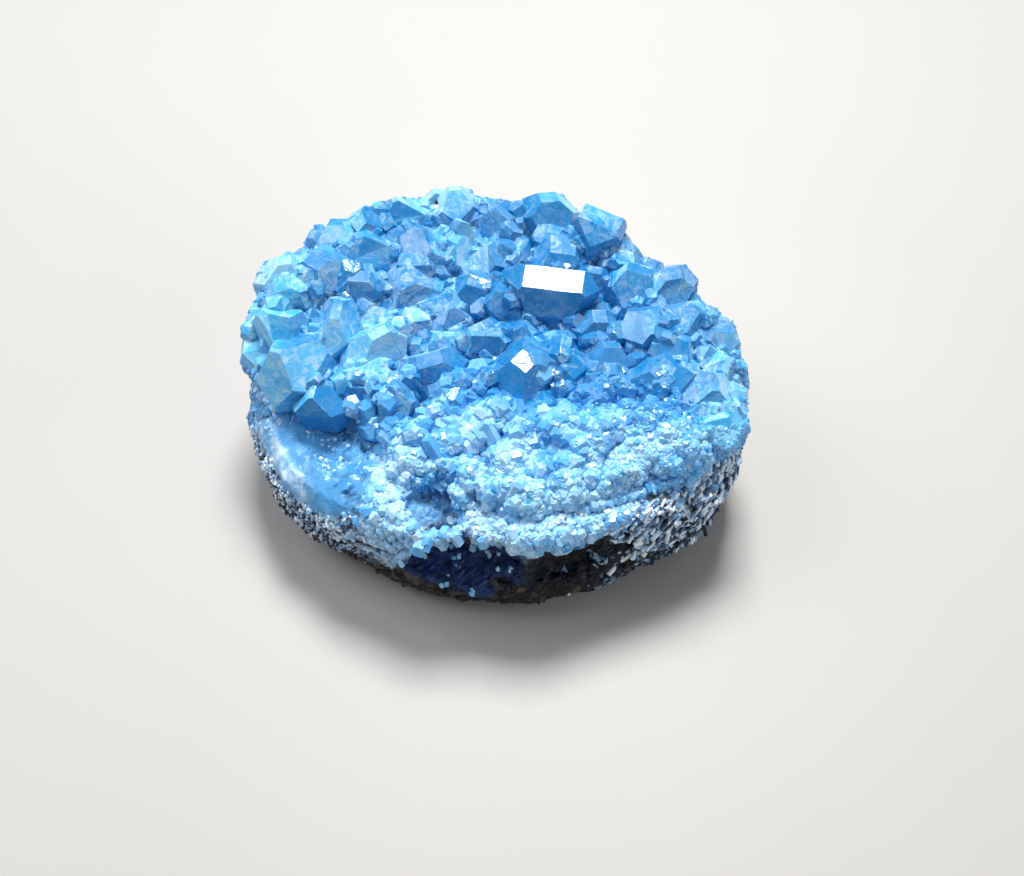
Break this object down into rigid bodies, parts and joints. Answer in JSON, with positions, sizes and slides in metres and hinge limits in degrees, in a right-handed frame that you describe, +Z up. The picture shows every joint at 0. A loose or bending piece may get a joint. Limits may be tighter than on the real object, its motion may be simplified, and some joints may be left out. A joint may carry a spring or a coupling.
{
  "type": "celestite cluster",
  "caption": "Hand-size celestite cluster: a broken bowl of granular host rock lined with intergrown pale blue translucent crystals, resting on its flat underside.",
  "frame": {"origin": "middle of the bounding box's underside, on the surface that the rock rests on", "axes": "+X across the wide side, +Y from the sugary front edge to the tall crystals at the back, +Z up"},
  "size_m": [0.0794, 0.07, 0.0323],
  "materials": {
    "host_rock": "rough, sugary and broken in fine layers",
    "celestite": "translucent pale blue with glassy faces"
  },
  "bodies": {
    "root": {"matrix": "host_rock", "crystals": "celestite"}
  },
  "joints": []
}
